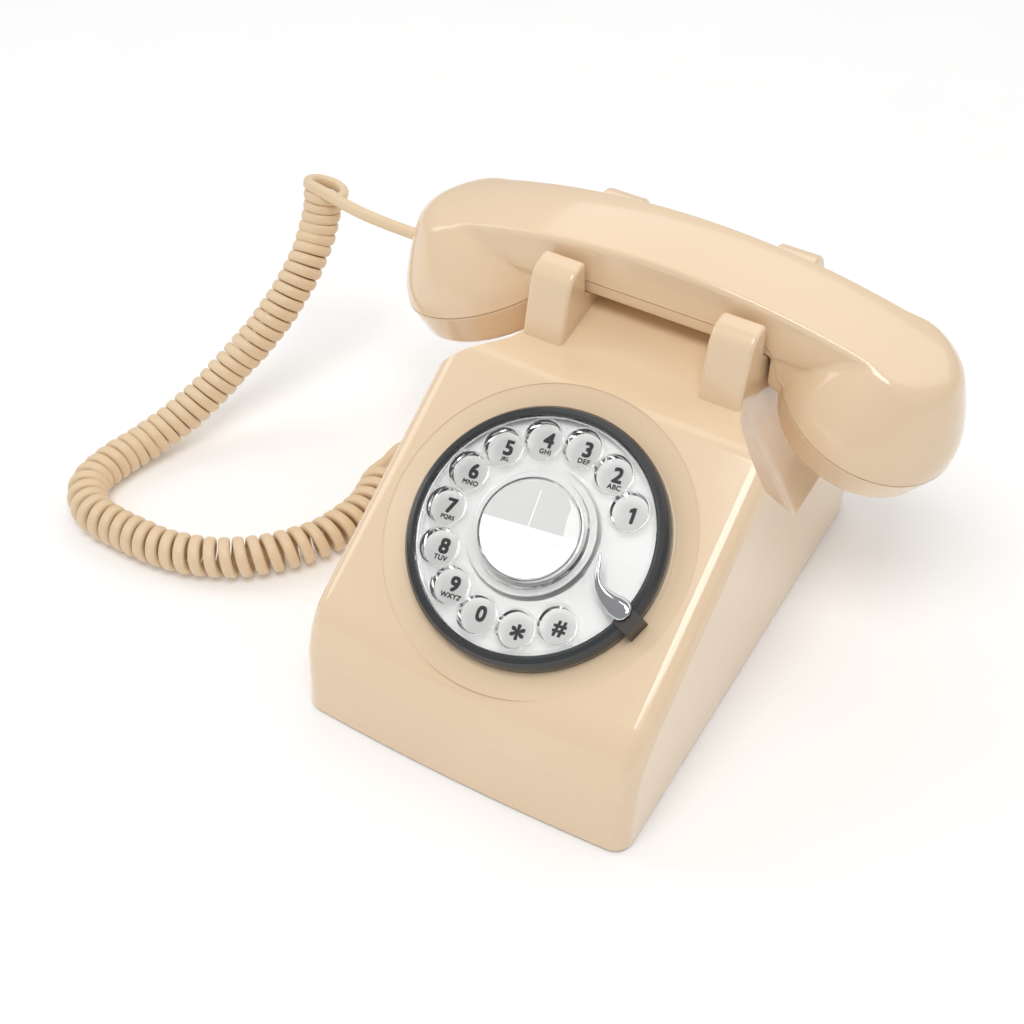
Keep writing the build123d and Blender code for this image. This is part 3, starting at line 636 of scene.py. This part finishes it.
def make_handset_form():
    """Function of x, y, z in millimetres that is negative inside the handset."""
    cup_distance = signed_distance_table(cup_profile(), (0, -22), (70, 55), 0.25)
    half, top_half = HANDLE_HALF_WIDTH, HANDLE_TOP_HALF_WIDTH
    section = rounded_outline([
        (-top_half, HANDLE_TOP_Z, 0), (-half, PARTING_Z, 0), (-half + 0.4, 115.9, 1.5), (-3, 111.3, 6),
        (3, 111.3, 6), (half - 0.4, 115.9, 1.5), (half, PARTING_Z, 0),
        (top_half, HANDLE_TOP_Z, 0),
    ])
    bar_distance = signed_distance_table(section, (-45, 60), (45, 160), 0.25)
    web_outline = rounded_outline([(45.4, 119, 0), (45.4, 103, 2.5), (56, 97, 0), (60, 119, 0)])
    web_distance = signed_distance_table(web_outline, (0, 50), (125, 160), 0.5)

    def form(x, y, z):
        x = np.abs(x)
        y = y - CRADLE_Y
        dx, dz = x - CUP_X, z - CUP_Z
        across = dx * math.cos(CUP_TILT) - dz * math.sin(CUP_TILT)
        height = dx * math.sin(CUP_TILT) + dz * math.cos(CUP_TILT)
        cup = cup_distance(np.hypot(across, y), height)
        bar = smooth_cut(bar_distance(y, z), x - HANDLE_END_X, 2.0)
        web = smooth_cut(web_distance(x, z), np.abs(y) - 17.2, 1.0)
        body = smooth_union(cup, smooth_union(bar, web, 1.6), 1.2)
        crest = ARCH_R - y * y / (2 * CROWN_R)
        arch = np.hypot(x, z - (ARCH_TOP_Z - ARCH_R)) - crest
        arch = arch / np.sqrt(1 + (y / CROWN_R) ** 2)
        soft = 1.4 + 4.0 * smooth_step((x - 88.0) / 18.0)
        return smooth_cut(body, arch, soft)

    return form


def surface_net(form, lows, highs, step):
    """Closed quad mesh of the surface where a form is zero, one vertex in each crossed cell."""
    axes = [np.arange(low, high + step, step) for low, high in zip(lows, highs)]
    grid = np.meshgrid(*axes, indexing="ij")
    values = form(*grid)
    shape = np.array(values.shape) - 1
    total = np.zeros((*shape, 3))
    hits = np.zeros(shape)
    for axis in range(3):
        others = [k for k in range(3) if k != axis]
        low = np.take(values, range(shape[axis]), axis)
        high = np.take(values, range(1, shape[axis] + 1), axis)
        crossed = (low < 0) != (high < 0)
        share = np.where(crossed, low / np.where(crossed, low - high, 1.0), 0.0)
        for p in (0, 1):
            for q in (0, 1):
                cut = [slice(None)] * 3
                cut[others[0]] = slice(p, p + shape[others[0]])
                cut[others[1]] = slice(q, q + shape[others[1]])
                mask = crossed[tuple(cut)]
                hits += mask
                total[..., axis] += np.where(mask, share[tuple(cut)], 0)
                total[..., others[0]] += mask * p
                total[..., others[1]] += mask * q
    active = hits > 0
    index = -np.ones(shape, int)
    index[active] = np.arange(active.sum())
    cell = np.argwhere(active)
    vertices = np.array(lows) + (cell + total[active] / hits[active][:, None]) * step
    faces = []
    for axis in range(3):
        b, c = (axis + 1) % 3, (axis + 2) % 3
        low = np.take(values, range(shape[axis]), axis)
        high = np.take(values, range(1, shape[axis] + 1), axis)
        entering = (low < 0) & (high >= 0)
        leaving = (low >= 0) & (high < 0)
        for mask, flip in ((entering, False), (leaving, True)):
            spots = np.argwhere(mask)
            quad = []
            for db, dc in ((0, 0), (1, 0), (1, 1), (0, 1)):
                corner = spots.copy()
                corner[:, b] -= 1 - db
                corner[:, c] -= 1 - dc
                quad.append(index[tuple(corner.T)])
            quad = np.stack(quad, axis=1)
            faces.append(quad[:, ::-1] if flip else quad)
    return vertices, np.concatenate(faces)


def settle(form, points, rounds=4):
    """Move points onto the surface where a form is zero."""
    small = 0.05
    for _ in range(rounds):
        x, y, z = points.T
        value = form(x, y, z)
        slope = np.stack([
            form(x + small, y, z) - form(x - small, y, z),
            form(x, y + small, z) - form(x, y - small, z),
            form(x, y, z + small) - form(x, y, z - small),
        ], axis=1) / (2 * small)
        points = points - slope * (value / np.maximum((slope ** 2).sum(1), 0.2))[:, None]
    return points


def parting_cutter(name, lift):
    """Prism below the joint between the two halves of the handset."""
    run = math.tan(CUP_TILT)
    seam_z = CUP_Z + 0.3
    far, shoulder = 130.0, 49.6
    right = [
        (45, PARTING_Z, 9), (shoulder, seam_z - (shoulder - CUP_X) * run, 3),
        (far, seam_z - (far - CUP_X) * run, 0), (far, 20, 0),
    ]
    left = [(-x, z, radius) for x, z, radius in right[::-1]]
    outline = rounded_outline(left + right, 10) + np.array((0, lift))
    count = len(outline)
    vertices = [(x * MM, y * MM, z * MM) for y in (-10, 120) for x, z in outline]
    faces = [tuple(range(count))[::-1], tuple(range(count, 2 * count))]
    for i in range(count):
        j = (i + 1) % count
        faces.append((i, j, j + count, i + count))
    return add_mesh(name, vertices, faces, MATERIALS["cream_handset"], smooth=False)


def cap_holes():
    """Sound holes of both caps, as one cutter: a centre hole and two rings."""
    spots = [(0.0, 0.0)]
    for count, radius in ((6, 5.5), (12, 11.0)):
        spots += [polar(radius, i * 360 / count) for i in range(count)]
    around = 14
    vertices = []
    faces = []
    for side in (-1, 1):
        for spot_x, spot_y in spots:
            first = len(vertices)
            for height in (-16.0, -9.0):
                for k in range(around):
                    turn_x, turn_y = polar(HOLE_R, 360 * k / around)
                    across = spot_x + turn_x
                    x = CUP_X + across * math.cos(CUP_TILT) + height * math.sin(CUP_TILT)
                    z = CUP_Z - across * math.sin(CUP_TILT) + height * math.cos(CUP_TILT)
                    vertices.append((side * x * MM, (CRADLE_Y + spot_y + turn_y) * MM, z * MM))
            ring = list(range(first, first + around))
            hole = [tuple(ring[::-1]), tuple(v + around for v in ring)]
            for k in range(around):
                a, b = ring[k], ring[(k + 1) % around]
                hole.append((a, b, b + around, a + around))
            faces += hole if side > 0 else [face[::-1] for face in hole]
    return add_mesh("cap_holes", vertices, faces, MATERIALS["cream_handset"], smooth=False)


def apply_boolean(piece, cutter, operation):
    modifier = piece.modifiers.new("cut", "BOOLEAN")
    modifier.operation = operation
    modifier.solver = "EXACT"
    modifier.object = cutter
    cut = bpy.data.meshes.new_from_object(piece.evaluated_get(bpy.context.evaluated_depsgraph_get()))
    piece.modifiers.clear()
    piece.data = cut
    bpy.data.objects.remove(cutter)


def sharpen(piece, degrees):
    """Smooth shading that breaks at edges sharper than an angle."""
    for polygon in piece.data.polygons:
        polygon.use_smooth = True
    piece.data.set_sharp_from_angle(angle=math.radians(degrees))


def make_handset():
    """Both halves of the handset, as smooth mouldings with a fine joint between them."""
    form = make_handset_form()
    points, faces = surface_net(form, HANDSET_LOWS, HANDSET_HIGHS, NET_STEP)
    points = settle(form, points)
    for name, lift, operation in (
        ("handset_back_half", PARTING_GAP, "DIFFERENCE"), ("handset_front_half", 0.0, "INTERSECT"),
    ):
        half = add_mesh(name, points * MM, faces, MATERIALS["cream_handset"])
        apply_boolean(half, parting_cutter(name + "_cutter", lift), operation)
        if name == "handset_front_half":
            apply_boolean(half, cap_holes(), "DIFFERENCE")
        sharpen(half, 40)
        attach(half, "handset")
    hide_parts("handset_upper")
    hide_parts("handset_lower")


# ---- dial ----
FIGURES = [
    ("1", ""), ("2", "ABC"), ("3", "DEF"), ("4", "GHI"), ("5", "JKL"), ("6", "MNO"),
    ("7", "PQRS"), ("8", "TUV"), ("9", "WXYZ"), ("0", ""), ("*", ""), ("#", ""),
]


COPY_SHIFTS = ((-1, -1), (1, -1), (1, 1), (-1, 1), (0, 0))


def one_mesh(height):
    """A plain figure one with a flag, flat."""
    outline = [
        (-0.03, -0.5), (0.12, -0.5), (0.12, 0.5), (-0.01, 0.5), (-0.24, 0.33), (-0.24, 0.2),
        (-0.03, 0.31),
    ]
    return np.array([(x * height, y * height, 0.0) for x, y in outline]), [tuple(range(len(outline)))]


def glyph_mesh(text, height):
    """Vertices and faces of flat, slightly raised lettering of a given height, in millimetres."""
    data = bpy.data.curves.new("glyphs", "FONT")
    data.body = text
    data.extrude = 0.012
    data.resolution_u = 6
    data.space_character = 1.08
    holder = bpy.data.objects.new("glyphs", data)
    bpy.context.scene.collection.objects.link(holder)
    bpy.context.view_layer.update()
    mesh = bpy.data.meshes.new_from_object(holder.evaluated_get(bpy.context.evaluated_depsgraph_get()))
    points = np.array([v.co for v in mesh.vertices], float)
    faces = [tuple(p.vertices) for p in mesh.polygons]
    bpy.data.objects.remove(holder)
    bpy.data.curves.remove(data)
    bpy.data.meshes.remove(mesh)
    low, high = points.min(0), points.max(0)
    scale = height / (high[1] - low[1])
    points = (points - (low + high) / 2) * scale
    return points, faces


def make_figures():
    """The dial's printed figures and letters, each in overlaid copies that make it heavier."""
    vertices = []
    faces = []
    for i, (figure, letters) in enumerate(FIGURES):
        centre = np.array(polar(FIGURE_CIRCLE_R, FIRST_FIGURE + i * FIGURE_STEP))
        rows = [(figure, FIGURE_HEIGHT, FIGURE_SPREAD, 0.0 if figure in "1*#" else FIGURE_RISE)]
        if letters:
            rows.append((letters, LETTER_HEIGHT, LETTER_SPREAD, LETTER_RISE))
        for text, height, spread, rise in rows:
            points, polygons = one_mesh(height) if text == "1" else glyph_mesh(text, height)
            for layer, (shift_x, shift_y) in enumerate(COPY_SHIFTS):
                first = len(vertices)
                for px, py, pz in points:
                    across = px + shift_x * spread
                    up = py + shift_y * spread + rise
                    u = centre[0] + across * math.cos(PLATE_TURN) - up * math.sin(PLATE_TURN)
                    v = centre[1] + across * math.sin(PLATE_TURN) + up * math.cos(PLATE_TURN)
                    vertices.append(in_dial(u, v, PLATE_TOP_H + 0.03 + 0.01 * layer + pz * 0.1))
                faces.extend(tuple(first + k for k in polygon) for polygon in polygons)
    ink = add_mesh("dial_figures", vertices, faces, MATERIALS["figure_ink"], smooth=False)
    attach(ink, "housing")


def make_finger_stop():
    """Plated comma-shaped stop, flattened and rounded, on its foot."""
    spine = nurbs_line([
        (26.2, 2.0, 0), (26.9, -0.5, 0), (28.2, -4.6, 0), (31.0, -8.8, 0), (35.6, -11.6, 0),
        (40.6, -12.9, 0), (44.6, -13.4, 0),
    ], 10)[:, :2]
    length = along_line(np.column_stack([spine, np.zeros(len(spine))]))
    share = length / length[-1]
    half_width = np.interp(
        share, [0, 0.06, 0.2, 0.4, 0.6, 0.78, 0.9, 0.97, 1.0],
        [0.25, 0.6, 0.9, 1.5, 2.7, 3.9, 3.9, 2.7, 0.6],
    )
    tangent = np.gradient(spine, axis=0)
    tangent = tangent / np.linalg.norm(tangent, axis=1)[:, None]
    side = np.stack([-tangent[:, 1], tangent[:, 0]], axis=1)
    around = 20
    vertices = []
    for p, n, w, t in zip(spine, side, half_width, share):
        thick = 0.35 + 0.75 * smooth_step(t / 0.5)
        thick = min(thick, 0.35 + w * 0.8)
        for k in range(around):
            angle = 2 * math.pi * k / around
            c, s = math.cos(angle), math.sin(angle)
            place = p + n * w * math.copysign(abs(c) ** 0.8, c)
            vertices.append(in_dial(place[0], place[1], 8.2 + thick * s))
    faces = [tuple(range(around))]
    for i in range(len(spine) - 1):
        for k in range(around):
            a = i * around + k
            b = i * around + (k + 1) % around
            faces.append((a, a + around, b + around, b))
    faces.append(tuple(range((len(spine) - 1) * around, len(spine) * around))[::-1])
    stop = add_mesh("finger_stop_hook", vertices, faces, MATERIALS["plated"])
    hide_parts("finger_stop")
    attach(stop, "housing")


def make_window():
    """Clear cap over the card: a thin round plate with a gently domed top."""
    edge_r, low, dome_r, crown = WINDOW_R, WINDOW_LOW_H, WINDOW_DOME_R, WINDOW_CROWN_H
    rim_h = crown - dome_r + math.sqrt(dome_r ** 2 - (edge_r - 0.4) ** 2)
    outline = [(edge_r, low), (edge_r, rim_h - 0.3), (edge_r - 0.12, rim_h - 0.08)]
    for k in range(12):
        r = (edge_r - 0.4) * (1 - k / 12)
        outline.append((r, crown - dome_r + math.sqrt(dome_r ** 2 - r ** 2)))
    around = 96
    vertices = [in_dial(0, 0, low)]
    for r, h in outline:
        vertices += [in_dial(*polar(r, 360 * k / around), h) for k in range(around)]
    vertices.append(in_dial(0, 0, crown))
    faces = []
    for k in range(around):
        after = (k + 1) % around
        faces.append((0, 1 + after, 1 + k))
        for ring in range(len(outline) - 1):
            a = 1 + ring * around
            b = a + around
            faces.append((a + k, a + after, b + after, b + k))
        last = 1 + (len(outline) - 1) * around
        faces.append((last + k, last + after, len(vertices) - 1))
    window = add_mesh("centre_window_dome", vertices, faces, MATERIALS["clear_plastic"])
    sharpen(window, 30)
    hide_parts("centre_window")
    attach(window, "centre_button")


make_camera()
paint_cad_nodes()
make_cord()
make_handset()
make_figures()
make_finger_stop()
make_window()
make_floor()
make_light()
